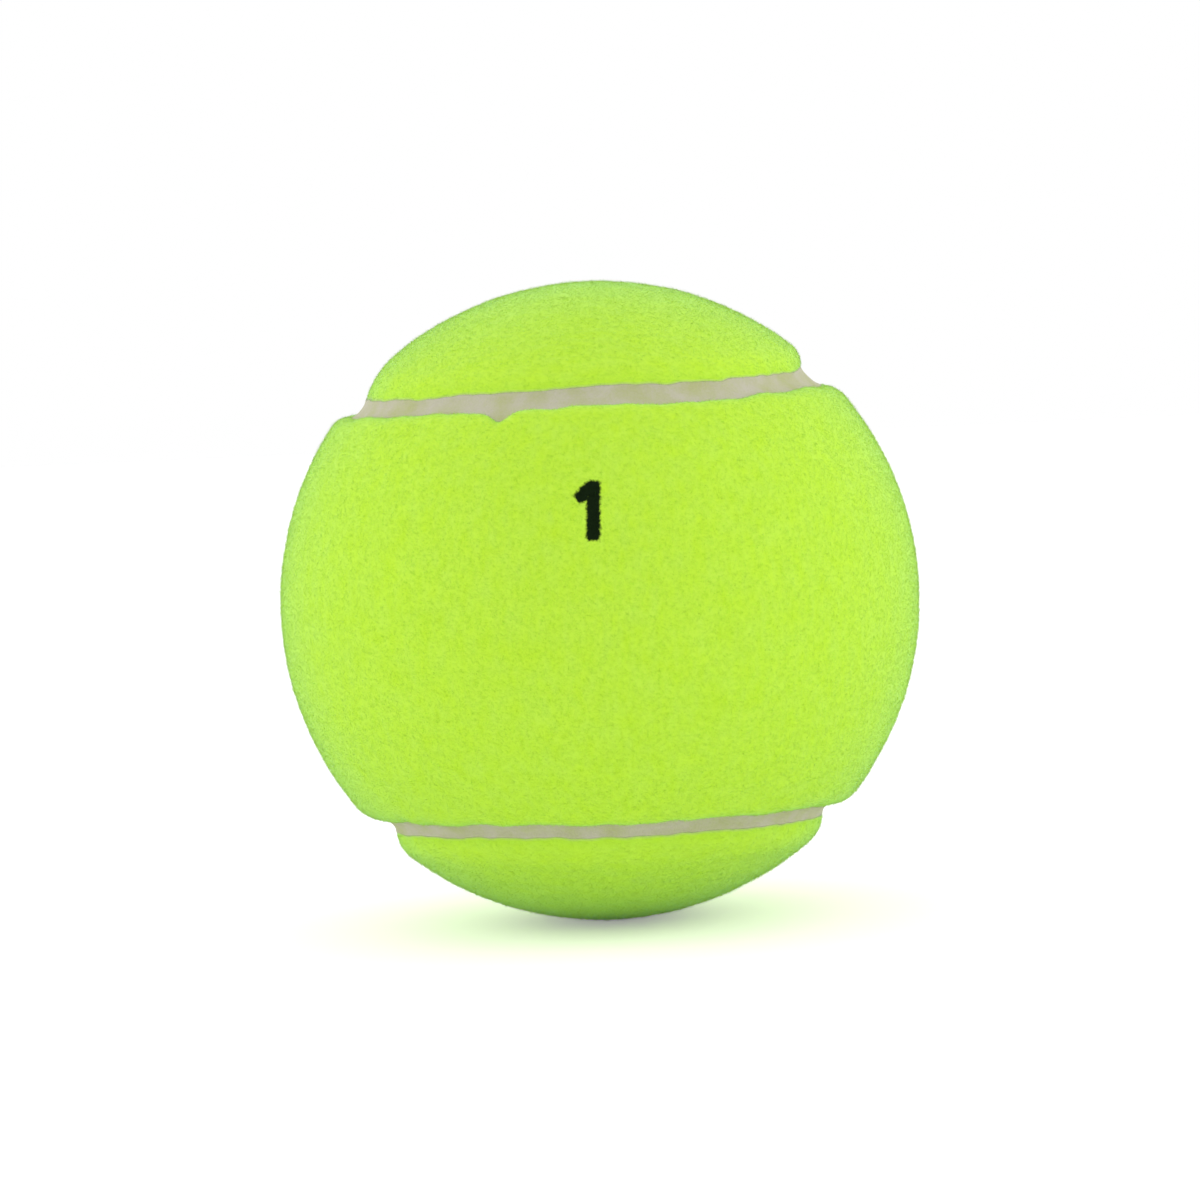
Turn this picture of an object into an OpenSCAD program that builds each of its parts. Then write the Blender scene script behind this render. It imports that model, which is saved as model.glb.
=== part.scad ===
// Tennis ball: two felt panels cemented round a hollow rubber core.
// Millimetres, +Z up, origin at the ball's centre. The front panel's waist faces -Y,
// and the back panel is the same blank turned half round about the X = Z line.

/* [Core] */
// Outer diameter of the moulded rubber core
core_d = 60.4; // [56:0.2:64]
// Wall of the two core cups
core_wall = 3.4; // [2.6:0.1:4.4]
// Inner chamfer round each cup's rim
rim_chamfer = 0.9; // [0.4:0.1:1.4]
// Cement between the two rims
joint_t = 0.3; // [0.1:0.05:0.6]
// Height of the bead that the joint cement leaves inside the wall
joint_bead = 0.5; // [0.2:0.1:1]

/* [Felt panels] */
// Film of cement behind each panel
film_t = 0.3; // [0.1:0.05:0.6]
// Thickness of the felt, backing and nap together
felt_t = 3.0; // [2.4:0.1:4]
// Radius to which the nap rolls over at a panel's edge
edge_roll = 2.3; // [1.6:0.1:2.8]
// Lean of each round lobe away from the waist of its panel, in degrees
lobe_lean = 3.5; // [1:0.5:8]

/* [Seam] */
// Width of the cement between the two panels
seam_w = 2.2; // [1.4:0.1:3]
// Depth of the cement's edges below the face of the felt
seam_sink = 1.35; // [0.8:0.05:1.5]
// Hollow along the middle of the cement, where it shrank as it cured
seam_dish = 0.2; // [0.1:0.05:0.4]

/* [Fineness] */
// Steps along each of the seam's four arcs
arc_steps = 28; // [16:4:32]
// Steps across a panel, from edge to edge
rib_steps = 14; // [8:2:16]
// Steps round the rolled edge of the felt
roll_steps = 5; // [3:1:7]
// Steps round the core
core_fn = 128; // [48:16:160]

/* [Hidden] */

// Radii of the stack, from the inside out
core_r = core_d/2;
bore_r = core_r - core_wall;
film_r = core_r + film_t;
ball_r = film_r + felt_t;
seam_r = ball_r - seam_sink;

// The seam is four equal arcs, one round each lobe, which run into each other
// without a corner at four points halfway between the X and Z axes
lobe_a = acos(cos(lobe_lean)/sqrt(2));
half_arc = acos(-tan(lobe_lean)/tan(lobe_a));
arc_step = 2*half_arc/arc_steps;
half_stations = 2*arc_steps;
loop_stations = 2*half_stations;

// Half of the seam's width and the reach of the rolled edge, as angles at the ball's centre
seam_a = in_degrees(seam_w/2);
roll_reach = sqrt(2*edge_roll*seam_sink - pow(seam_sink, 2));
roll_end = asin(roll_reach/edge_roll);

function in_degrees(arc) = arc/seam_r*180/PI;

// A direction on the arc round the +X lobe, psi degrees up from the lobe's tip
function lobe_point(psi, a) =
    let (out = sin(a)*cos(psi))
    [cos(a)*cos(lobe_lean) - out*sin(lobe_lean), cos(a)*sin(lobe_lean) + out*cos(lobe_lean), sin(a)*sin(psi)];

// A direction on the arc over the waist, psi degrees from its middle towards +X
function waist_point(psi, a) =
    let (out = sin(a)*cos(psi))
    [sin(a)*sin(psi), -cos(a)*sin(lobe_lean) - out*cos(lobe_lean), cos(a)*cos(lobe_lean) - out*sin(lobe_lean)];

// Station i of the panel's upper edge, from the +X lobe's tip over the waist to the -X
// lobe's tip, moved inset degrees from the seam's middle into the panel
function upper_edge(i, inset) =
    i < arc_steps/2 ? lobe_point(i*arc_step, lobe_a - inset) :
    i <= 3*arc_steps/2 ? waist_point(half_arc - (i - arc_steps/2)*arc_step, lobe_a + inset) :
    let (p = lobe_point((half_stations - i)*arc_step, lobe_a - inset))
    [-p[0], p[1], p[2]];

// The same edge all the way round: up over the top, and back along its mirror image below
function edge(i, inset) =
    i <= half_stations ? upper_edge(i, inset) :
    let (p = upper_edge(loop_stations - i, inset))
    [p[0], p[1], -p[2]];

// The point at share w of the way down the meridian that joins upper station i to its image
function rib_point(i, w, inset) =
    let (p = upper_edge(i, inset), lon = atan2(p[0], -p[1]), lat = asin(p[2])*(1 - 2*w))
    [cos(lat)*sin(lon), -cos(lat)*cos(lon), sin(lat)];

// A blank as a solid that tapers to the ball's centre. The profile lists the edge's points
// from the inside out, each [inset in degrees, radius], and the last one also sets the face.
module blank(profile) {
    loops = len(profile);
    last = loops - 1;
    points = [
        [0, 0, 0],
        for (q = profile, i = [0:loop_stations - 1]) q[1]*edge(i, q[0]),
        for (i = [1:half_stations - 1], c = [1:rib_steps - 1])
            profile[last][1]*rib_point(i, c/rib_steps, profile[last][0])
    ];
    function on_loop(j, i) = 1 + j*loop_stations + i%loop_stations;
    function on_face(i, c) =
        c == 0 || i == 0 || i == half_stations ? on_loop(last, i) :
        c == rib_steps ? on_loop(last, loop_stations - i) :
        1 + loops*loop_stations + (i - 1)*(rib_steps - 1) + c - 1;
    sides = [
        for (i = [0:loop_stations - 1]) [0, on_loop(0, i + 1), on_loop(0, i)],
        for (j = [0:1:last - 1], i = [0:loop_stations - 1])
            each [
                [on_loop(j, i), on_loop(j, i + 1), on_loop(j + 1, i + 1)],
                [on_loop(j, i), on_loop(j + 1, i + 1), on_loop(j + 1, i)]
            ]
    ];
    face = [
        for (i = [0:half_stations - 1], c = [0:rib_steps - 1])
            each [
                if (i > 0) [on_face(i, c), on_face(i + 1, c), on_face(i, c + 1)],
                if (i < half_stations - 1) [on_face(i + 1, c), on_face(i + 1, c + 1), on_face(i, c + 1)]
            ]
    ];
    polyhedron(points, concat(sides, face));
}

// Turns a front panel's piece into its place on the back of the ball
module as_back_panel() {
    rotate(a = 180, v = [1, 0, 1])
        children();
}

// Cloth of one panel: a straight cut edge up to the cement, then the nap rolled over it
module felt_panel() {
    roll_profile = [
        for (k = [0:roll_steps])
            let (turn = roll_end*(1 - k/roll_steps))
            [
                seam_a + in_degrees(roll_reach - edge_roll*sin(turn)),
                ball_r - edge_roll*(1 - cos(turn))
            ]
    ];
    difference() {
        blank(roll_profile);
        sphere(r = film_r, $fn = core_fn);
    }
}

// Film of cement behind one panel, cut to the panel's own edge
module panel_cement() {
    intersection() {
        difference() {
            sphere(r = film_r, $fn = core_fn);
            sphere(r = core_r, $fn = core_fn);
        }
        blank([[seam_a, ball_r]]);
    }
}

// Half shell with its open side towards +Y
module core_cup() {
    rotate([90, 0, 0])
        rotate_extrude($fn = core_fn)
            difference() {
                intersection() {
                    translate([0, joint_t/2])
                        square([core_r, core_r]);
                    circle(r = core_r, $fn = core_fn);
                }
                circle(r = bore_r, $fn = core_fn);
                polygon([
                    [0, joint_t/2],
                    [bore_r + rim_chamfer, joint_t/2],
                    [bore_r - rim_chamfer, joint_t/2 + 2*rim_chamfer],
                    [0, joint_t/2 + 2*rim_chamfer]
                ]);
            }
}

module core_cup_front() {
    color([0.22, 0.22, 0.22])
        core_cup();
}

module core_cup_back() {
    color([0.26, 0.26, 0.26])
        rotate([180, 0, 0])
            core_cup();
}

// Ring between the rims, with a bead that fills the two chamfers and stands proud inside
module cup_joint_cement() {
    color([0.42, 0.36, 0.28])
        rotate([90, 0, 0])
            rotate_extrude($fn = core_fn)
                intersection() {
                    circle(r = core_r, $fn = core_fn);
                    polygon([
                        [bore_r - joint_bead, -joint_t/2],
                        [bore_r, -joint_t/2 - rim_chamfer],
                        [bore_r + rim_chamfer, -joint_t/2],
                        [core_r, -joint_t/2],
                        [core_r, joint_t/2],
                        [bore_r + rim_chamfer, joint_t/2],
                        [bore_r, joint_t/2 + rim_chamfer],
                        [bore_r - joint_bead, joint_t/2]
                    ]);
                }
}

module panel_cement_front() {
    color([0.86, 0.82, 0.70])
        panel_cement();
}

module panel_cement_back() {
    color([0.82, 0.78, 0.66])
        as_back_panel()
            panel_cement();
}

module felt_panel_front() {
    color([0.74, 0.94, 0.26])
        felt_panel();
}

module felt_panel_back() {
    color([0.69, 0.91, 0.30])
        as_back_panel()
            felt_panel();
}

// Closed band of cement that fills the groove between the panels, down to the core
module seam_cement() {
    section = [
        [-seam_a, bore_r],
        [seam_a, bore_r],
        for (share = [1:-0.5:-1]) [share*seam_a, seam_r - seam_dish*(1 - share*share)]
    ];
    sides = len(section);
    points = [for (i = [0:loop_stations - 1], q = section) q[1]*edge(i, q[0])];
    faces = [
        for (i = [0:loop_stations - 1], j = [0:sides - 1])
            let (
                a = i*sides,
                b = ((i + 1)%loop_stations)*sides,
                k = (j + 1)%sides
            )
            each [[a + j, a + k, b + k], [a + j, b + k, b + j]]
    ];
    color([0.73, 0.70, 0.62])
        difference() {
            polyhedron(points, faces);
            sphere(r = core_r, $fn = core_fn);
        }
}

core_cup_front();
core_cup_back();
cup_joint_cement();
panel_cement_front();
panel_cement_back();
felt_panel_front();
felt_panel_back();
seam_cement();
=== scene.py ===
"""A tennis ball, dressed from the core out: moulded cups, cement, felt panels, nap and seam.

Metres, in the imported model's frame: the origin is the ball's centre, -Y goes through the middle
of the front panel's waist, X through its two lobes, and +Z is up.
"""
import math

import bpy
import numpy as np
from mathutils import Matrix, Vector, geometry, kdtree, noise


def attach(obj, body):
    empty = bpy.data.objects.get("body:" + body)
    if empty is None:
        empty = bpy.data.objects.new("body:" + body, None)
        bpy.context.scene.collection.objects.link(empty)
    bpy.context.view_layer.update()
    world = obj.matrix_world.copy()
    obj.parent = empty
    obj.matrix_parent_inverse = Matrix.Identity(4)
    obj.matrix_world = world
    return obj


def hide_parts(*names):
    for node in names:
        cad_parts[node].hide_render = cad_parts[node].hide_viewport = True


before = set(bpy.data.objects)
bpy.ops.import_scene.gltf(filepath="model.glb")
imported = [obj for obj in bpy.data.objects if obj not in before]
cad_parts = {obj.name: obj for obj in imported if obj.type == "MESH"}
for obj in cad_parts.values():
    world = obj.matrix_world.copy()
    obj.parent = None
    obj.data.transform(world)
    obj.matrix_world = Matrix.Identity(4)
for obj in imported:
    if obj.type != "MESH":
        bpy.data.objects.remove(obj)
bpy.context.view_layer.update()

# Core cups. Two half shells moulded of dark natural rubber, vulcanised, and buffed outside with
# an abrasive drum so that the cement takes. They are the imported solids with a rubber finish.
mm = 0.001
core_radius = 30.2 * mm
rubber_black = (0.022, 0.021, 0.020, 1)
buffed_grey = (0.060, 0.058, 0.055, 1)
scratch_width = 0.35 * mm
scratch_depth = 0.08 * mm
bloom_width = 6 * mm
buff_start = 1.0 * mm
buff_full = 0.2 * mm


class Wire:
    """An output socket. Arithmetic on it adds a Math node to the tree that it comes from."""

    def __init__(self, board, socket):
        self.board = board
        self.socket = socket

    def math(self, operation, *others):
        sockets = dict(enumerate((self,) + others))
        return self.board.add("ShaderNodeMath", {"operation": operation}, sockets)

    def __add__(self, other):
        return self.math("ADD", other)

    def __radd__(self, other):
        return self + other

    def __sub__(self, other):
        return self.math("SUBTRACT", other)

    def __rsub__(self, other):
        return self * -1.0 + other

    def __mul__(self, other):
        return self.math("MULTIPLY", other)

    def __rmul__(self, other):
        return self * other

    def __truediv__(self, other):
        return self.math("DIVIDE", other)

    def __rtruediv__(self, other):
        return self.math("POWER", -1.0) * other

    def __abs__(self):
        return self.math("ABSOLUTE")

    def least(self, other):
        return self.math("MINIMUM", other)

    def most(self, other):
        return self.math("MAXIMUM", other)

    def rise(self, low, high):
        """0 below low and 1 above high, with a smooth step between them."""
        settings = {"interpolation_type": "SMOOTHSTEP"}
        return self.board.add("ShaderNodeMapRange", settings, {0: self, 1: low, 2: high})


class Board:
    """A node tree, to which add brings every node."""

    def __init__(self, tree):
        self.tree = tree

    def add(self, kind, settings=None, sockets=None, output=0):
        """A node of one type, with its settings and its sockets' values or wires."""
        node = self.tree.nodes.new(kind)
        for name, value in (settings or {}).items():
            setattr(node, name, value)
        for key, value in (sockets or {}).items():
            if isinstance(value, Wire):
                self.tree.links.new(value.socket, node.inputs[key])
            else:
                node.inputs[key].default_value = value
        return Wire(self, node.outputs[output]) if node.outputs else node

    def place(self):
        return self.add("ShaderNodeTexCoord", output="Object")

    def vector(self, x, y, z):
        return self.add("ShaderNodeCombineXYZ", {}, {0: x, 1: y, 2: z})

    def part(self, vector, axis):
        return self.add("ShaderNodeSeparateXYZ", {}, {0: vector}, axis)

    def arrow(self, operation, *values, output="Vector"):
        """Vector Math on one or two vectors, or for SCALE on a vector and a number."""
        sockets = dict(enumerate(values))
        if operation == "SCALE":
            sockets["Scale"] = sockets.pop(1)
        return self.add("ShaderNodeVectorMath", {"operation": operation}, sockets, output)

    def size(self, vector):
        return self.arrow("LENGTH", vector, output="Value")

    def blend(self, share, first, second):
        sockets = {0: share, 6: first, 7: second}
        return self.add("ShaderNodeMix", {"data_type": "RGBA"}, sockets, 2)

    def between(self, share, first, second):
        sockets = {0: share, 4: first, 5: second}
        return self.add("ShaderNodeMix", {"data_type": "VECTOR"}, sockets, 1)

    def grain(self, vector, width, stretch=(1, 1, 1), detail=3.0, rough=0.5, output="Fac"):
        """Noise whose features are width across, drawn out along each axis by stretch."""
        scale = tuple(1 / (width * s) for s in stretch)
        spaced = self.arrow("MULTIPLY", vector, scale)
        sockets = {"Vector": spaced, "Scale": 1.0, "Detail": detail, "Roughness": rough}
        return self.add("ShaderNodeTexNoise", {}, sockets, output)

    def relief(self, height, depth):
        sockets = {"Height": height, "Distance": depth, "Strength": 1.0}
        return self.add("ShaderNodeBump", {}, sockets)

    def surface(self, **sockets):
        sockets = {name.replace("_", " "): value for name, value in sockets.items()}
        shader = self.add("ShaderNodeBsdfPrincipled", {}, sockets)
        self.add("ShaderNodeOutputMaterial", {}, {"Surface": shader})


def new_finish(name):
    """An empty material, and the board of its node tree."""
    material = bpy.data.materials.new(name)
    material.use_nodes = True
    material.node_tree.nodes.clear()
    return material, Board(material.node_tree)


def refinish(node, material):
    for material_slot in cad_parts[node].material_slots:
        material_slot.material = material


core_rubber, board = new_finish("core_rubber")
place = board.place()
scratches = board.grain(place, scratch_width, stretch=(7, 1, 1))
bloom = board.grain(place, bloom_width, detail=2)
outside = board.size(place).rise(core_radius - buff_start, core_radius - buff_full)
board.surface(
    Base_Color=board.blend(outside * (0.3 + 0.7 * scratches * bloom), rubber_black, buffed_grey),
    Roughness=0.55 + 0.25 * outside * scratches + 0.1 * bloom,
    Specular_IOR_Level=0.35,
    Normal=board.relief(outside * scratches, scratch_depth),
)
refinish("core_cup_front", core_rubber)
refinish("core_cup_back", core_rubber)

# Cup joint cement. A ring of brown rubber cement, brushed on the two rims and cured when the
# cups are pressed together hot. What is squeezed out stands as a glossy bead inside.
cement_brown = (0.115, 0.072, 0.036, 1)
cement_amber = (0.210, 0.140, 0.075, 1)
brush_mark = 1.6 * mm
brush_depth = 0.06 * mm

joint_cement, board = new_finish("joint_cement")
flow = board.grain(board.place(), brush_mark, stretch=(1, 0.4, 1), detail=2)
board.surface(
    Base_Color=board.blend(flow, cement_brown, cement_amber),
    Roughness=0.35 + 0.25 * flow,
    Specular_IOR_Level=0.4,
    Normal=board.relief(flow, brush_depth),
)
refinish("cup_joint_cement", joint_cement)

# Panel cement. A film of pale rubber solution sprayed on the back of each felt blank and dried
# tacky. It bonds the blank over its whole area when the ball is cured in its mould.
solution_pale = (0.66, 0.59, 0.42, 1)
solution_thin = (0.40, 0.33, 0.21, 1)
spray_width = 2.5 * mm
mist_width = 0.5 * mm
spray_depth = 0.10 * mm

panel_cement, board = new_finish("panel_cement")
place = board.place()
spray = board.grain(place, spray_width, detail=4, rough=0.6)
mist = board.grain(place, mist_width, detail=2)
board.surface(
    Base_Color=board.blend(0.6 * spray + 0.4 * mist, solution_thin, solution_pale),
    Roughness=0.45 + 0.3 * mist,
    Specular_IOR_Level=0.35,
    Normal=board.relief(spray + 0.5 * mist, spray_depth),
)
refinish("panel_cement_front", panel_cement)
refinish("panel_cement_back", panel_cement)

# Felt panels. Two equal dumbbell blanks cut from woven wool and nylon cloth with a raised nap,
# dyed bright yellow, stretched over the cemented core and steamed until the nap swells.
ball_radius = 33.5 * mm
film_radius = 30.5 * mm
seam_radius = 32.15 * mm
nap_stand = 0.20 * mm
face_radius = ball_radius - nap_stand
lobe_lean = math.radians(3.5)
lobe_angle = math.acos(math.cos(lobe_lean) / math.sqrt(2))
half_arc = math.acos(-math.tan(lobe_lean) / math.tan(lobe_angle))
seam_length = 8 * half_arc * math.sin(lobe_angle) * seam_radius
stations = 560
roll_loops = 8
cloth_pitch = 0.62 * mm
backing_pitch = 2.0 * mm
swell = 0.12 * mm
streak_width = 0.9 * mm
mottle_width = 2.2 * mm
wool_width = 0.28 * mm
wool_depth = 0.025 * mm
dip_height = 0.30 * mm
dip_stain = 0.6
felt_yellow = (0.560, 0.885, 0.026, 1)
felt_pale = (0.570, 0.895, 0.098, 1)
# A greener, darker felt: used for the random mottles and for the painted shade down the rolled
# edge into the seam's groove
felt_green_and_groove_shade = (0.480, 0.840, 0.050, 1)
sheen_mint = (0.30, 0.95, 1.0, 1)
print_ink = (0.0045, 0.0120, 0.0010, 1)
cement_grey = (0.560, 0.525, 0.440, 1)

# The radius in mm to which the nap rolls over, at the middle of a lobe's edge and of a waist's,
# and the waves in it
lobe_roll = 5.0
waist_roll = 2.1
roll_wave = 0.5
roll_wave_length = 12 * mm

# How the face's points are spread: a point's cell over its pitch squared, the height on a unit
# ball beyond which none lies in a front panel, and the least way to the rim, in pitches
cell_share = 0.866
highest_lift = 0.95
rim_clearance = 0.6

# Half of the seam's width at either edge, what it gains over the top and loses below, and the
# waves of its wandering and fray, in mm
front_half_width = 1.13
back_half_width = 0.92
top_gain = 0.14
drift_wave = 0.12
drift_wave_length = 22 * mm
coarse_fray = 0.24
coarse_fray_length = 3.4 * mm
fine_fray = 0.20
fine_fray_length = 1.5 * mm

# Where the seam wandered as the felt was laid, where drips and loose nap nick its front edge,
# where its back edge swelled over it, and where each panel's edge rolls wider or tighter: in mm,
# at and over a share of a turn
seam_drift = ((1.70, 1.44, 0.19), (-0.45, 0.95, 0.06), (-0.35, 3.06, 0.09), (-0.20, 3.25, 0.06))
front_nicks = (
    (1.25, 1.088, 0.017),
    (0.45, 0.770, 0.020),
    (-0.30, 0.720, 0.022),
    (0.60, 1.520, 0.080),
    (0.70, 0.500, 0.080),
)
back_swells = ((0.50, 1.25, 0.09), (0.40, 0.62, 0.05))
front_rolls = ((-1.6, 1.50, 0.15), (1.5, 2.60, 0.20))
back_rolls = ((10.0, 3.53, 0.12), (-1.3, 0.50, 0.12), (2.0, 1.90, 0.20))


def seam_line(turn, inset):
    """Unit directions along the seam. turn counts its four arcs from the +X lobe's tip up over
    the top, and inset, in radians, moves the line into the front panel."""
    turn, inset = np.broadcast_arrays(np.asarray(turn, float) % 4, inset)
    upper = np.where(turn > 2, 4 - turn, turn)
    on_waist = (upper >= 0.5) & (upper <= 1.5)
    on_far_lobe = upper > 1.5
    swing = 2 * half_arc * np.select([on_waist, on_far_lobe], [1 - upper, 2 - upper], upper)
    cone = lobe_angle + np.where(on_waist, inset, -inset)
    out, side = np.sin(cone) * np.cos(swing), np.sin(cone) * np.sin(swing)
    ahead = np.cos(cone) * math.cos(lobe_lean) - out * math.sin(lobe_lean)
    back = np.cos(cone) * math.sin(lobe_lean) + out * math.cos(lobe_lean)
    lobe = np.stack([np.where(on_far_lobe, -ahead, ahead), back, side], axis=-1)
    waist = np.stack([side, -back, ahead], axis=-1)
    line = np.where(on_waist[..., None], waist, lobe)
    line[..., 2] *= np.where(turn > 2, -1, 1)
    return line


def as_front_panel(points):
    return points


def as_back_panel(points):
    """A front panel's points, turned to their place on the back of the ball."""
    return np.stack([points[..., 2], -points[..., 1], points[..., 0]], axis=-1)


def ripple(turn, length, seed):
    """Smooth noise round the seam, from -1 to 1, with waves about length long."""
    radius = seam_length / (2 * math.pi * length)
    return np.array([
        noise.noise(Vector((radius * math.cos(a), radius * math.sin(a), seed)))
        for a in np.asarray(turn) * math.pi / 2
    ])


def bumps(turn, rows):
    """The sum of single rises round the seam, each a row of height, middle and spread."""
    total = np.zeros(np.shape(turn))
    for height, middle, spread in rows:
        gap = (np.asarray(turn) - middle + 2) % 4 - 2
        total += height * np.exp(-((gap / spread) ** 2))
    return total


def seam_edges(turn):
    """The insets, in radians, of the seam's front and back edges as the felt was laid."""
    drift = drift_wave * ripple(turn, drift_wave_length, 3.1) + bumps(turn, seam_drift)
    gain = top_gain * np.sin(turn * math.pi / 2)
    front_fray, back_fray = (
        coarse_fray * ripple(turn, coarse_fray_length, seed)
        + fine_fray * ripple(turn, fine_fray_length, seed + 5)
        for seed in (11.3, 27.9)
    )
    front = drift + (front_half_width + gain) + front_fray + bumps(turn, front_nicks)
    back = drift - (back_half_width + gain) - back_fray + bumps(turn, back_swells)
    return front * mm / seam_radius, back * mm / seam_radius


def lumps(points):
    """How far the nap has swelled or matted down at each point, from about -1 to 1."""
    waves = ((0.60, 7.0 * mm), (0.40, 2.6 * mm), (0.15, 1.2 * mm))
    return np.array([
        sum(height * noise.noise(Vector(p) / width) for height, width in waves) for p in points
    ])


def to_chart(directions):
    """Longitude from -Y and stretched latitude, in which small shapes keep their angles."""
    lon = np.arctan2(directions[:, 0], -directions[:, 1])
    return np.stack([lon, np.arctanh(directions[:, 2])], axis=1)


def fill_panel(rim, pitch):
    """Evenly spread directions inside a rim of directions, and triangles over rim and inside."""
    count = int(4 * math.pi * ball_radius**2 / (cell_share * pitch**2))
    step = np.arange(count) + 0.5
    lift = 1 - 2 * step / count
    lon = step * math.pi * (3 - math.sqrt(5))
    ring = np.sqrt(1 - lift**2)
    spread = np.stack([ring * np.sin(lon), -ring * np.cos(lon), lift], axis=1)
    spread = spread[np.abs(lift) < highest_lift]

    edge_chart, chart = to_chart(rim), to_chart(spread)
    inside = np.zeros(len(chart), bool)
    for (ax, ay), (bx, by) in zip(edge_chart, np.roll(edge_chart, -1, axis=0)):
        crosses = (ay > chart[:, 1]) != (by > chart[:, 1])
        if crosses.any():
            inside ^= crosses & (chart[:, 0] < (bx - ax) * (chart[:, 1] - ay) / (by - ay) + ax)
    tree = kdtree.KDTree(len(rim))
    for i, direction in enumerate(rim):
        tree.insert(direction, i)
    tree.balance()
    clear = rim_clearance * pitch / ball_radius
    inside &= np.array([hit and tree.find(p)[2] > clear for p, hit in zip(spread, inside)])

    chart = np.concatenate([edge_chart, chart[inside]])
    loop = [list(range(len(rim)))]
    result = geometry.delaunay_2d_cdt([Vector(p) for p in chart], [], loop, 1, 1e-9)
    source = [ids[0] for ids in result[3]]
    triangles = [[source[v] for v in face] for face in result[2]]
    return spread[inside], triangles


def panel_cloth(turn, inset, rolls, seed):
    """One blank in the front panel's place: its points, each point's share of the nap, and the
    hidden and the napped faces. The loops run from the backing's rim up over the rolled edge."""
    sink = face_radius - seam_radius
    edge_roll = (lobe_roll + waist_roll + (lobe_roll - waist_roll) * np.cos(turn * math.pi)) / 2
    waves = roll_wave * ripple(turn, roll_wave_length, seed + 40)
    edge_roll = (edge_roll + waves + bumps(turn, rolls)) * mm
    reach = np.sqrt(2 * edge_roll * sink - sink**2)
    end = np.arcsin(reach / edge_roll)
    cut = seam_line(turn, inset)
    loops = [cut * film_radius, cut * (film_radius + seam_radius) / 2]
    for k in range(roll_loops + 1):
        roll = end * (1 - k / roll_loops)
        rim = seam_line(turn, inset + (reach - edge_roll * np.sin(roll)) / seam_radius)
        loops.append(rim * (face_radius - edge_roll * (1 - np.cos(roll)))[:, None])
    face, face_triangles = fill_panel(rim, cloth_pitch)
    backing, backing_triangles = fill_panel(cut, backing_pitch)

    points = np.concatenate(loops + [face * face_radius, backing * film_radius])
    rim_start = (len(loops) - 1) * stations
    face_start = len(loops) * stations
    backing_start = face_start + len(face)
    share = np.zeros(len(points))
    rising = np.arange(roll_loops + 1) / roll_loops
    share[2 * stations : face_start] = np.repeat(rising, stations)
    share[face_start:backing_start] = 1
    lift = share * lumps(points + seed) * swell
    points *= (1 + lift / np.linalg.norm(points, axis=1))[:, None]

    def numbered(triangles, rim_at, inside_at):
        return [
            [v + rim_at if v < stations else v - stations + inside_at for v in triangle]
            for triangle in triangles
        ]

    edge = []
    for j in range(len(loops) - 1):
        for i in range(stations):
            low, high = j * stations + i, j * stations + (i + 1) % stations
            edge.append([low, high, high + stations, low + stations])
    inner = [t[::-1] for t in numbered(backing_triangles, 0, backing_start)]
    napped = edge[2 * stations :] + numbered(face_triangles, rim_start, face_start)
    return points, share, edge[: 2 * stations] + inner, napped


def make_mesh(name, points, faces, material):
    mesh = bpy.data.meshes.new(name)
    mesh.from_pydata(points.tolist(), [], faces)
    mesh.shade_smooth()
    mesh.materials.append(material)
    mesh.update()
    return mesh


def show(name, data):
    item = bpy.data.objects.new(name, data)
    bpy.context.scene.collection.objects.link(item)
    return item


# The ball lies turned a little in the photograph, so the view's own axes are tilted in this
# frame
yaw, pitch, roll = (math.radians(a) for a in (-4.87, 3.32, -2.61))
view_turn = (
    Matrix.Rotation(roll, 3, "Y") @ Matrix.Rotation(pitch, 3, "X") @ Matrix.Rotation(yaw, 3, "Z")
)
view_right, view_ahead, view_up = (tuple(row) for row in view_turn)

# The number is stencilled in black ink on the front panel: a bar and a slanting flag, in mm
# across and up from the middle of the view. The ink bleeds along the wool and fades out over
# its edge.
bar_left, bar_right, bar_foot, bar_top = -1.30, 0.0, 5.72, 11.53
flag = ((-1.17, 11.53), (-2.60, 10.12), (-1.94, 9.25), (-1.25, 9.55), (0.0, 11.53))
corner_round = 0.5
bleed_width = 0.35 * mm
bleed_reach = 0.45
ink_full, ink_gone = -0.12, 0.20


def number_mask(board, place):
    """1 where the number's ink lies, with the soft edge that ink has on nap."""
    across, up, ahead = (
        board.arrow("DOT_PRODUCT", place, axis, output="Value") / mm
        for axis in (view_right, view_up, view_ahead)
    )
    bar = (abs(across - (bar_left + bar_right) / 2) - (bar_right - bar_left) / 2).math(
        "SMOOTH_MAX", abs(up - (bar_top + bar_foot) / 2) - (bar_top - bar_foot) / 2, corner_round
    )
    slant = None
    for (ax, ay), (bx, by) in zip(flag, flag[1:] + flag[:1]):
        side = math.hypot(bx - ax, by - ay)
        out_x, out_y = (by - ay) / side, (ax - bx) / side
        beyond = across * out_x + up * out_y - (ax * out_x + ay * out_y)
        slant = slant.math("SMOOTH_MAX", beyond, corner_round) if slant else beyond
    bleed = board.grain(place, bleed_width, detail=2) - 0.5
    printed = 1 - (bar.least(slant) + bleed_reach * bleed).rise(ink_full, ink_gone)
    return printed * (1 - ahead.rise(-1, 0))


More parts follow.
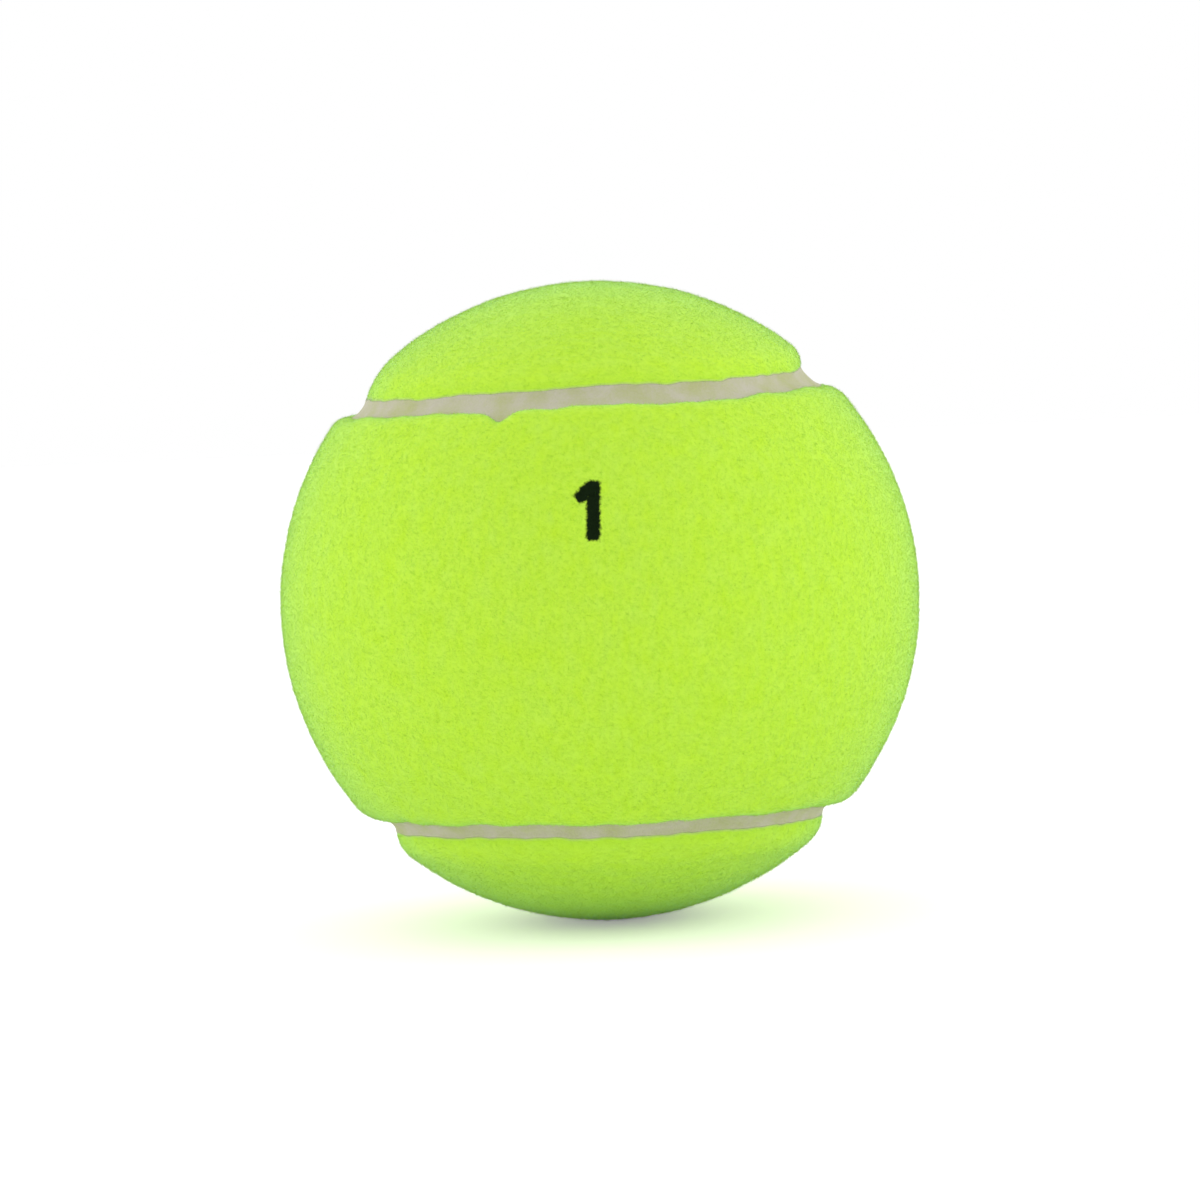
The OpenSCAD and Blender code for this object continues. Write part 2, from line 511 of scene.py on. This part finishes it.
def felt_finish(name, lie, printed, bump_depth):
    """Dyed wool: brushed along lie, a little greener in random mottles, with painted shade,
    greener and darker, down its rolled edge into the seam's groove, and stained by the cement at
    its dipped edge."""
    material, board = new_finish(name)
    place = board.place()
    streaks = board.grain(place, streak_width, stretch=lie, detail=2)
    mottle = board.grain(place, mottle_width, detail=3)
    radius = board.size(place)
    # low runs from the face down the rolled edge into the seam's groove: there the colour is
    # blended greener and darker as painted shade of the groove
    low = 1 - radius.rise(seam_radius - 0.2 * mm, face_radius - 0.1 * mm)
    dipped = 1 - radius.rise(seam_radius, seam_radius + dip_height)
    nap = board.blend((0.5 * streaks + 0.5 * mottle).rise(0.0, 1.0), felt_yellow, felt_pale)
    # Greener in random mottles, and greener and darker down the rolled edge as painted groove
    # shade
    color = board.blend(0.1 * mottle + 0.4 * low, nap, felt_green_and_groove_shade)
    color = board.blend(dip_stain * dipped, color, cement_grey)
    if printed:
        color = board.blend(number_mask(board, place), color, print_ink)
    relief = {}
    if bump_depth:
        wool = board.grain(place, wool_width, detail=4, rough=0.65)
        relief["Normal"] = board.relief(wool, bump_depth)
    board.surface(
        Base_Color=color,
        Roughness=0.92,
        Specular_IOR_Level=0.1,
        Sheen_Weight=0.35,
        Sheen_Roughness=0.38,
        Sheen_Tint=sheen_mint,
        **relief,
    )
    return material


turn = np.arange(stations) * 4 / stations
front_edge, back_edge = seam_edges(turn)
panels = {
    "front": (front_edge, front_rolls, (1, 1, 3), as_front_panel, 0.0),
    "back": (-seam_edges((1 - turn) % 4)[1], back_rolls, (3, 1, 1), as_back_panel, 0.2),
}
cloths = {}
for side, (inset, rolls, lie, placed, seed) in panels.items():
    points, share, hidden, napped = panel_cloth(turn, inset, rolls, seed)
    finish = felt_finish("felt_" + side, lie, side == "front", wool_depth)
    mesh = make_mesh("felt_" + side, placed(points), hidden + napped, finish)
    cloth = show("felt_" + side, mesh)
    cloths[side] = (cloth, points, share, napped)
    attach(cloth, "root")
    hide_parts("felt_panel_" + side)

# Nap. The ends of the wool and nylon fibres that teasing raised from the cloth, matted and
# curled by the steaming. Each stands in its panel's face, and four pieces cover a panel.
fibres_per_square_metre = 28.5e6
fibre_length = 0.55 * mm
fibre_radius = 0.012 * mm
least_lean, most_lean = 0.95, 1.45
shortest, longest, rim_length = 0.6, 1.25, 0.7
curl_reach = 0.5 * mm
curl_width = 0.9 * mm
root_depth = 1.5
round_share = 0.6
face_share = 0.40
quarters = ((True, True), (False, True), (False, False), (True, False))

# A piece's texture map: its margin, a fibre's leaf, and the rest of the map over the longitude
# and the latitude, in radians, that a quarter of a panel stays within
map_edge = 0.02
leaf_size = 0.0026
map_span = 0.96
map_width = map_span / 2.48
map_height = map_span / 0.82


class ShapeBoard(Board):
    """A Geometry Nodes tree with named inputs, given as socket type and value."""

    def __init__(self, name, inputs):
        super().__init__(bpy.data.node_groups.new(name, "GeometryNodeTree"))
        face = self.tree.interface
        for label, (kind, value) in inputs.items():
            item = face.new_socket(name=label, in_out="INPUT", socket_type="NodeSocket" + kind)
            if value is not None:
                item.default_value = value
        face.new_socket(name="Shape", in_out="OUTPUT", socket_type="NodeSocketGeometry")

    def given(self, label):
        return self.add("NodeGroupInput", output=label)

    def position(self):
        return self.add("GeometryNodeInputPosition")

    def read(self, name, kind="FLOAT"):
        return self.add("GeometryNodeInputNamedAttribute", {"data_type": kind}, {"Name": name})

    def write(self, shape, name, value, kind="FLOAT", domain="POINT"):
        settings = {"data_type": kind, "domain": domain}
        sockets = {"Geometry": shape, "Name": name, "Value": value}
        return self.add("GeometryNodeStoreNamedAttribute", settings, sockets)

    def move(self, shape, **sockets):
        return self.add("GeometryNodeSetPosition", {}, {"Geometry": shape, **sockets})

    def close(self, shape, used):
        """Drops the attributes that were used, and hands the shape out in the given finish."""
        for name in used:
            sockets = {"Geometry": shape, "Name": name}
            shape = self.add("GeometryNodeRemoveAttribute", {}, sockets)
        shape = self.add("GeometryNodeRealizeInstances", {}, {"Geometry": shape})
        sockets = {"Geometry": shape, "Material": self.given("Finish")}
        shape = self.add("GeometryNodeSetMaterial", {}, sockets)
        self.add("NodeGroupOutput", {}, {0: shape})
        return self.tree


def nap_tree():
    """Tapered fibres rooted at random over a bed, leaning every way and curled together."""
    board = ShapeBoard("nap", {
        "Bed": ("Geometry", None),
        "Density": ("Float", fibres_per_square_metre),
        "Length": ("Float", fibre_length),
        "Radius": ("Float", fibre_radius),
        "Least lean": ("Float", least_lean),
        "Most lean": ("Float", most_lean),
        "Curl": ("Float", curl_reach),
        "Curl size": ("Float", curl_width),
        "Seed": ("Int", 1),
        "Finish": ("Material", None),
    })
    length, radius, seed = (board.given(label) for label in ("Length", "Radius", "Seed"))

    def chance(low, high, offset):
        sockets = {2: low, 3: high, "Seed": seed + offset}
        return board.add("FunctionNodeRandomValue", {"data_type": "FLOAT"}, sockets, 1)

    # One fibre: a closed cone of three sides, with a small leaf of its own in the texture map
    sockets = {"Vertices": 3, "Side Segments": 1, "Radius Top": 0.0, "Radius Bottom": radius}
    sockets["Depth"] = length
    fibre = board.add("GeometryNodeMeshCone", {"fill_type": "NGON"}, sockets)
    x, y, z = (board.part(board.position(), axis) for axis in range(3))
    leaf = board.vector((x + 0.5 * y) / radius, z / length + 0.3 * y / radius, 0.0)
    fibre = board.write(fibre, "leaf", leaf, "FLOAT_VECTOR")
    fibre = board.write(fibre, "height", z / length)

    sockets = {"Mesh": board.given("Bed"), "Density": board.given("Density"), "Seed": seed}
    settings = {"distribute_method": "RANDOM"}
    roots = board.add("GeometryNodeDistributePointsOnFaces", settings, sockets)
    normal = Wire(board, roots.socket.node.outputs["Normal"])
    outward = board.arrow("NORMALIZE", board.position())
    shading = board.arrow("NORMALIZE", board.between(round_share, normal, outward))
    roots = board.write(roots, "out", shading, "FLOAT_VECTOR")
    stance = board.add("FunctionNodeAlignRotationToVector", {"axis": "Z"}, {"Vector": normal})
    spin = board.vector(0.0, 0.0, chance(0.0, 2 * math.pi, 1))
    lean = board.vector(0.0, chance(board.given("Least lean"), board.given("Most lean"), 2), 0.0)
    for turned in (spin, lean):
        sockets = {"Rotation": stance, "Rotate By": turned}
        stance = board.add("FunctionNodeRotateRotation", {"rotation_space": "LOCAL"}, sockets)
    full = rim_length + (1 - rim_length) * board.read("nap")
    tall = chance(shortest, longest, 3) * full
    sockets = {"Points": roots, "Instance": fibre, "Rotation": stance}
    sockets["Scale"] = board.vector(1.0, 1.0, tall)
    fibres = board.add("GeometryNodeInstanceOnPoints", {}, sockets)
    fibres = board.add("GeometryNodeRealizeInstances", {}, {"Geometry": fibres})

    # Neighbours curl the same way, and more towards their ends; the roots sink under the face
    place = board.arrow("SCALE", board.position(), 1.0 / board.given("Curl size"))
    wander = board.grain(place, 1.0, detail=1.0, output="Color")
    wander = board.arrow("SUBTRACT", wander, (0.5, 0.5, 0.5))
    curl = board.arrow("SCALE", wander, board.given("Curl") * board.read("height"))
    out = board.read("out", "FLOAT_VECTOR")
    fibres = board.move(fibres, Offset=curl)
    fibres = board.move(fibres, Offset=board.arrow("SCALE", out, -root_depth * radius))

    # Each fibre is mapped round its root's place, and shades partly like the face it stands in
    leaf = board.arrow("SCALE", board.read("leaf", "FLOAT_VECTOR"), leaf_size)
    spot = board.arrow("ADD", board.read("root_spot", "FLOAT_VECTOR"), leaf)
    fibres = board.write(fibres, "OFBake", spot, "FLOAT2", "CORNER")
    own = board.add("GeometryNodeInputNormal", output="Normal")
    fibres = board.add("GeometryNodeSetShadeSmooth", {}, {"Geometry": fibres})
    settings = {"mode": "FREE", "domain": "POINT"}
    sockets = {"Mesh": fibres, "Custom Normal": board.between(face_share, own, out)}
    fibres = board.add("GeometryNodeSetMeshNormal", settings, sockets)
    return board.close(fibres, ("nap", "height", "leaf", "out", "root_spot"))


def grown(bed, tree, values):
    """What a geometry tree makes of a bed, as a plain mesh. The bed is used up."""
    modifier = bed.modifiers.new(tree.name, "NODES")
    modifier.node_group = tree
    for item in tree.interface.items_tree:
        if item.in_out == "INPUT" and item.name in values:
            modifier[item.identifier] = values[item.name]
    graph = bpy.context.evaluated_depsgraph_get()
    mesh = bpy.data.meshes.new_from_object(
        bed.evaluated_get(graph), preserve_all_data_layers=True, depsgraph=graph
    )
    bed.modifiers.remove(modifier)
    bpy.data.objects.remove(bed)
    return mesh


def nap_bed(name, chosen, points, share, placed, finish):
    """The chosen faces of a panel, with what the fibres need to know at every point: how full
    the nap is, and where the root lies in the piece's map. Each piece fills a map of its own."""
    used = np.unique(np.concatenate([np.array(face) for face in chosen]))
    new_number = {v: i for i, v in enumerate(used)}
    faces = [[new_number[v] for v in face] for face in chosen]
    mesh = make_mesh(name, placed(points[used]), faces, finish)
    mesh.attributes.new("nap", "FLOAT", "POINT").data.foreach_set("value", share[used])
    lon = np.abs(np.arctan2(points[used, 0], -points[used, 1]))
    lat = np.abs(np.arcsin(points[used, 2] / np.linalg.norm(points[used], axis=1)))
    spots = np.stack([map_edge + map_width * lon, map_edge + map_height * lat, 0 * lon], axis=1)
    root_spot = mesh.attributes.new("root_spot", "FLOAT_VECTOR", "POINT")
    root_spot.data.foreach_set("vector", spots.ravel())
    return show(name, mesh)


nap = nap_tree()
for side, (inset, rolls, lie, placed, seed) in panels.items():
    cloth, points, share, napped = cloths[side]
    finish = felt_finish("nap_" + side, lie, side == "front", 0)
    middles = np.array([points[face].mean(axis=0) for face in napped])
    for quarter, (right, high) in enumerate(quarters):
        chosen = [
            face for face, middle in zip(napped, middles)
            if (middle[0] > 0) == right and (middle[2] > 0) == high
        ]
        name = "nap_%s_%d" % (side, quarter + 1)
        bed = nap_bed(name + "_bed", chosen, points, share, placed, finish)
        values = {"Seed": 7 * quarter + (3 if side == "back" else 1), "Finish": finish}
        mesh = grown(bed, nap, values)
        mesh.name = name
        tuft = show(name, mesh)
        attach(tuft, "root")
    "panel_cement_" + side

# Seam cement. The grey-beige rubber compound on the blanks' dipped edges, which ran together in
# the groove as the ball was cured. It is matte, wavy and dished, and climbs and soaks into the
# felt at both edges.
seam_dish = 0.20 * mm
seam_unevenness = 0.10 * mm
seam_fillet = 0.15 * mm
seam_soak = 0.12 * mm / seam_radius
seam_patch = 1.8 * mm
section_points = 36
side_press, top_press = 1.35, 1.5
fillet_start, top_start = 0.5, 0.4
cloud_width = 3.0 * mm
grit_width = 0.22 * mm
grit_depth = 0.05 * mm
cement_stain = (0.465, 0.480, 0.240, 1)

seam_cement, board = new_finish("seam_cement")
place = board.place()
cloud = board.grain(place, cloud_width, detail=3)
grit = board.grain(place, grit_width, detail=2)
board.surface(
    Base_Color=board.blend((cloud + 0.3 * grit).rise(0.35, 0.95), cement_grey, cement_stain),
    Roughness=0.75 + 0.15 * grit,
    Specular_IOR_Level=0.25,
    Normal=board.relief(0.7 * grit + 0.3 * cloud, grit_depth),
)


def bead_tree():
    """A closed section swept along a line, between the two edges that its points carry."""
    board = ShapeBoard("seam_bead", {
        "Line": ("Geometry", None),
        "Section points": ("Int", section_points),
        "Bottom radius": ("Float", core_radius),
        "Top radius": ("Float", seam_radius),
        "Dish": ("Float", seam_dish),
        "Unevenness": ("Float", seam_unevenness),
        "Fillet": ("Float", seam_fillet),
        "Finish": ("Material", None),
    })
    # The section is a circle pressed square: across and height run from -1 to 1 round it
    angle = board.add("GeometryNodeSplineParameter", output="Factor") * (2 * math.pi)
    sockets = {"Resolution": board.given("Section points"), "Radius": 1 * mm}
    section = board.add("GeometryNodeCurvePrimitiveCircle", {}, sockets)
    for name, wave, press in (("across", "COSINE", side_press), ("height", "SINE", top_press)):
        pressed = (press * angle.math(wave)).least(1.0).most(-1.0)
        section = board.write(section, name, pressed)
    line = board.add("GeometryNodeMeshToCurve", {}, {"Mesh": board.given("Line")})
    sockets = {"Curve": line, "Profile Curve": section}
    bead = board.add("GeometryNodeCurveToMesh", {}, sockets)

    across, height = board.read("across"), board.read("height")
    edges = (board.read(name, "FLOAT_VECTOR") for name in ("back_edge", "front_edge"))
    out = board.arrow("NORMALIZE", board.between(0.5 + 0.5 * across, *edges))
    patches = board.grain(out, seam_patch / seam_radius, detail=2)
    bottom, top = board.given("Bottom radius"), board.given("Top radius")
    radius = bottom + (top - bottom) * (0.5 + 0.5 * height)
    uneven = board.given("Unevenness") * (patches - 0.5)
    dish = board.given("Dish") * (1 - across * across)
    fillet = board.given("Fillet") * abs(across).rise(fillet_start, 1.0)
    radius = radius + height.rise(top_start, 1.0) * (uneven - dish + fillet)
    bead = board.move(bead, Position=board.arrow("SCALE", out, radius))
    bead = board.add("GeometryNodeSetShadeSmooth", {}, {"Geometry": bead})
    return board.close(bead, ("across", "height", "front_edge", "back_edge"))


line_mesh = bpy.data.meshes.new("seam_line")
line_points = seam_line(turn, 0 * turn) * seam_radius
around = [(i, (i + 1) % stations) for i in range(stations)]
line_mesh.from_pydata(line_points.tolist(), around, [])
soaked = {"front_edge": front_edge + seam_soak, "back_edge": back_edge - seam_soak}
for name, inset in soaked.items():
    edge = line_mesh.attributes.new(name, "FLOAT_VECTOR", "POINT")
    edge.data.foreach_set("vector", seam_line(turn, inset).ravel())
line = show("seam_line", line_mesh)
bead = show("seam_bead", grown(line, bead_tree(), {"Finish": seam_cement}))
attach(bead, "root")
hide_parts("seam_cement")

# Table top, light and camera. A pale seamless sweep, two soft boxes beside and a little behind
# the ball, and a white surround that fills the shadows.
floor_pale = (0.97, 0.97, 0.97, 1)
floor_glow = 0.30
fill_light = 0.945
box_watts = 1.05
box_width = 0.5
box_spots = {"box_left": (-0.70, 0.11, 0.25), "box_right": (0.70, 0.11, 0.25)}
sweep = 3.0
camera_distance = 0.400
nearest_seen = 0.02
focal_pixels, photo_pixels, sensor = 3812.2, 1200, 36.0


def seen_plainly(board):
    """1 for what the camera sees, straight or by way of metal or glass, and 0 for light that
    falls on the ball."""
    rays = ("Is Camera Ray", "Is Glossy Ray", "Is Transmission Ray")
    camera_ray, glossy, through = (board.add("ShaderNodeLightPath", output=ray) for ray in rays)
    return (camera_ray + glossy + through).least(1.0)


floor, board = new_finish("table_top")
board.surface(
    Base_Color=floor_pale,
    Roughness=0.9,
    Specular_IOR_Level=0.1,
    Emission_Color=(1, 1, 1, 1),
    Emission_Strength=floor_glow * seen_plainly(board),
)
corners = sweep * np.array([(-1, -1, 0), (1, -1, 0), (1, 1, 0), (-1, 1, 0)])
corners -= (0, 0, ball_radius)
show("table_top", make_mesh("table_top", corners, [[0, 1, 2, 3]], floor))

surround = bpy.data.worlds.new("surround")
surround.use_nodes = True
surround.node_tree.nodes.clear()
board = Board(surround.node_tree)
level = fill_light + (1 - fill_light) * seen_plainly(board)
sky = board.add("ShaderNodeBackground", {}, {"Color": (1, 1, 1, 1), "Strength": level})
board.add("ShaderNodeOutputWorld", {}, {"Surface": sky})
bpy.context.scene.world = surround

for name, spot in box_spots.items():
    lamp = bpy.data.lights.new(name, "AREA")
    lamp.shape = "DISK"
    lamp.size = box_width
    lamp.energy = box_watts
    box = show(name, lamp)
    box.location = spot
    box.rotation_euler = (-Vector(spot)).to_track_quat("-Z", "Y").to_euler()

lens = bpy.data.cameras.new("camera")
lens.sensor_width = sensor
lens.lens = focal_pixels * sensor / photo_pixels
lens.clip_start = nearest_seen
camera = show("camera", lens)
ahead = Vector(view_ahead)
axes = Matrix((view_right, view_up, tuple(-ahead))).transposed()
camera.matrix_world = Matrix.Translation(-camera_distance * ahead) @ axes.to_4x4()
bpy.context.scene.camera = camera
bpy.context.scene.view_settings.view_transform = "Standard"
